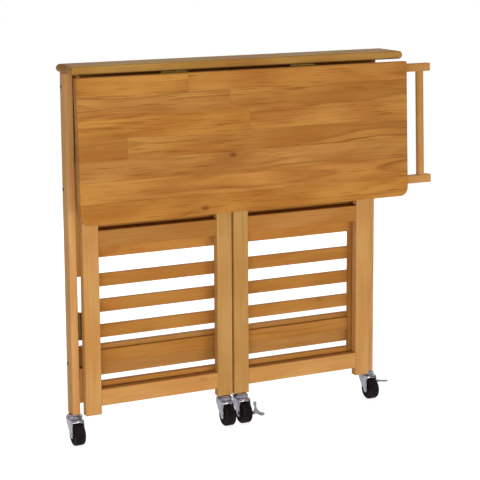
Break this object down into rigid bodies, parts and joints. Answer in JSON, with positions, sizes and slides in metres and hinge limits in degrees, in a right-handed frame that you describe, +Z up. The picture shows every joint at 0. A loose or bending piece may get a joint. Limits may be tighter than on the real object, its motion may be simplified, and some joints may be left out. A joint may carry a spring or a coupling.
{
  "type": "folding kitchen cart",
  "caption": "Folded wooden kitchen cart with a narrow worktop, hanging drop leaf, hinged gate frames, slatted fold-up shelves, a towel bar and stem casters.",
  "frame": {"origin": "centre of the bounding box at floor level", "axes": "+X to the right along the worktop, +Y to the back, +Z up; the drop leaf is at the front, -Y"},
  "size_m": [0.9104, 0.133, 0.86],
  "materials": {
    "top_wood": "satin lacquer, olive brown",
    "leaf_wood": "satin lacquer, honey brown staves",
    "frame_wood": "satin lacquer, light tan",
    "hinge_brass": "dull",
    "bolt_steel": "dark",
    "caster_zinc": "bright zinc plate",
    "wheel_rubber": "satin black",
    "brake_grey": "matt grey"
  },
  "bodies": {
    "frame": {"apron": "frame_wood", "back_rail_lower": "frame_wood", "back_rail_upper": "frame_wood", "frame_bolts_left": "bolt_steel", "frame_bolts_right": "bolt_steel", "leaf_hinges_fixed": "hinge_brass", "left_gate_hinges_fixed": "hinge_brass", "leg_left": "frame_wood", "leg_right": "frame_wood", "lower_pivot_block_left": "frame_wood", "lower_pivot_block_right": "frame_wood", "right_gate_hinges_fixed": "hinge_brass", "upper_pivot_block_left": "frame_wood", "upper_pivot_block_right": "frame_wood", "worktop": "top_wood"},
    "drop_leaf": {"leaf": "leaf_wood", "leaf_hinges_moving": "hinge_brass", "towel_arm_lower": "frame_wood", "towel_arm_upper": "frame_wood", "towel_dowel": "frame_wood"},
    "left_gate": {"left_gate_cleats": "frame_wood", "left_gate_free_stile": "frame_wood", "left_gate_hinges_moving": "hinge_brass", "left_gate_low_rail": "frame_wood", "left_gate_mid_rail": "frame_wood", "left_gate_outer_stile": "frame_wood", "left_gate_top_rail": "frame_wood"},
    "right_gate": {"right_gate_cleats": "frame_wood", "right_gate_free_stile": "frame_wood", "right_gate_hinges_moving": "hinge_brass", "right_gate_low_rail": "frame_wood", "right_gate_mid_rail": "frame_wood", "right_gate_outer_stile": "frame_wood", "right_gate_top_rail": "frame_wood"},
    "lower_shelf": {"lower_shelf_front_rail": "frame_wood", "lower_shelf_left_side": "frame_wood", "lower_shelf_pivot_pins": "bolt_steel", "lower_shelf_rear_rail": "frame_wood", "lower_shelf_right_side": "frame_wood", "lower_shelf_slats": "frame_wood"},
    "upper_shelf": {"upper_shelf_front_rail": "frame_wood", "upper_shelf_left_side": "frame_wood", "upper_shelf_pivot_pins": "bolt_steel", "upper_shelf_rear_rail": "frame_wood", "upper_shelf_right_side": "frame_wood", "upper_shelf_slats": "frame_wood"},
    "caster_1_fork": {"axle_1": "caster_zinc", "fork_1": "caster_zinc"},
    "caster_2_fork": {"axle_2": "caster_zinc", "fork_2": "caster_zinc"},
    "caster_3_fork": {"axle_3": "caster_zinc", "fork_3": "caster_zinc"},
    "caster_4_fork": {"axle_4": "caster_zinc", "fork_4": "caster_zinc"},
    "caster_3_brake": {"brake_lever_3": "brake_grey"},
    "caster_4_brake": {"brake_lever_4": "brake_grey"},
    "caster_1_wheel": {"wheel_1": "wheel_rubber"},
    "caster_2_wheel": {"wheel_2": "wheel_rubber"},
    "caster_3_wheel": {"wheel_3": "wheel_rubber"},
    "caster_4_wheel": {"wheel_4": "wheel_rubber"}
  },
  "joints": [
    {"name": "leaf_lift", "type": "hinge", "parent": "frame", "child": "drop_leaf", "pos_m": [-0.05205, -0.03154, 0.8378], "axis": [-1, 0, 0], "range_deg": [0, 87.7]},
    {"name": "left_gate_swing", "type": "hinge", "parent": "frame", "child": "left_gate", "pos_m": [-0.42405, 0.02596, 0.45], "axis": [0, 0, -1], "range_deg": [0, 4.5]},
    {"name": "right_gate_swing", "type": "hinge", "parent": "frame", "child": "right_gate", "pos_m": [0.31995, 0.02596, 0.45], "axis": [0, 0, 1], "range_deg": [0, 4.5]},
    {"name": "lower_shelf_drop", "type": "hinge", "parent": "frame", "child": "lower_shelf", "pos_m": [-0.05205, 0.04046, 0.107], "axis": [1, 0, 0], "range_deg": [0, 1.2]},
    {"name": "upper_shelf_drop", "type": "hinge", "parent": "frame", "child": "upper_shelf", "pos_m": [-0.05205, 0.04046, 0.473], "axis": [1, 0, 0], "range_deg": [0, 1.2]},
    {"name": "caster_1_swivel", "type": "hinge", "parent": "frame", "child": "caster_1_fork", "pos_m": [-0.43625, 0.04346, 0.08], "axis": [0, 0, 1], "continuous": true},
    {"name": "caster_1_roll", "type": "hinge", "parent": "caster_1_fork", "child": "caster_1_wheel", "pos_m": [-0.43625, 0.02346, 0.025], "axis": [1, 0, 0], "continuous": true},
    {"name": "caster_2_swivel", "type": "hinge", "parent": "left_gate", "child": "caster_2_fork", "pos_m": [-0.07345, 0.01546, 0.08], "axis": [0, 0, -1], "range_deg": [-10, 180]},
    {"name": "caster_2_roll", "type": "hinge", "parent": "caster_2_fork", "child": "caster_2_wheel", "pos_m": [-0.07345, -0.00454, 0.025], "axis": [1, 0, 0], "continuous": true},
    {"name": "caster_3_swivel", "type": "hinge", "parent": "right_gate", "child": "caster_3_fork", "pos_m": [-0.03065, 0.01546, 0.08], "axis": [0, 0, 1], "range_deg": [-10, 100]},
    {"name": "caster_3_roll", "type": "hinge", "parent": "caster_3_fork", "child": "caster_3_wheel", "pos_m": [-0.03065, -0.00454, 0.025], "axis": [1, 0, 0], "continuous": true},
    {"name": "caster_3_brake_press", "type": "hinge", "parent": "caster_3_fork", "child": "caster_3_brake", "pos_m": [-0.01585, -0.00454, 0.025], "axis": [1, 0, 0], "range_deg": [-90, 0]},
    {"name": "caster_4_swivel", "type": "hinge", "parent": "frame", "child": "caster_4_fork", "pos_m": [0.33215, 0.04346, 0.08], "axis": [0, 0, 1], "continuous": true},
    {"name": "caster_4_roll", "type": "hinge", "parent": "caster_4_fork", "child": "caster_4_wheel", "pos_m": [0.33215, 0.02346, 0.025], "axis": [1, 0, 0], "continuous": true},
    {"name": "caster_4_brake_press", "type": "hinge", "parent": "caster_4_fork", "child": "caster_4_brake", "pos_m": [0.34695, 0.02346, 0.025], "axis": [1, 0, 0], "range_deg": [0, 90]}
  ]
}
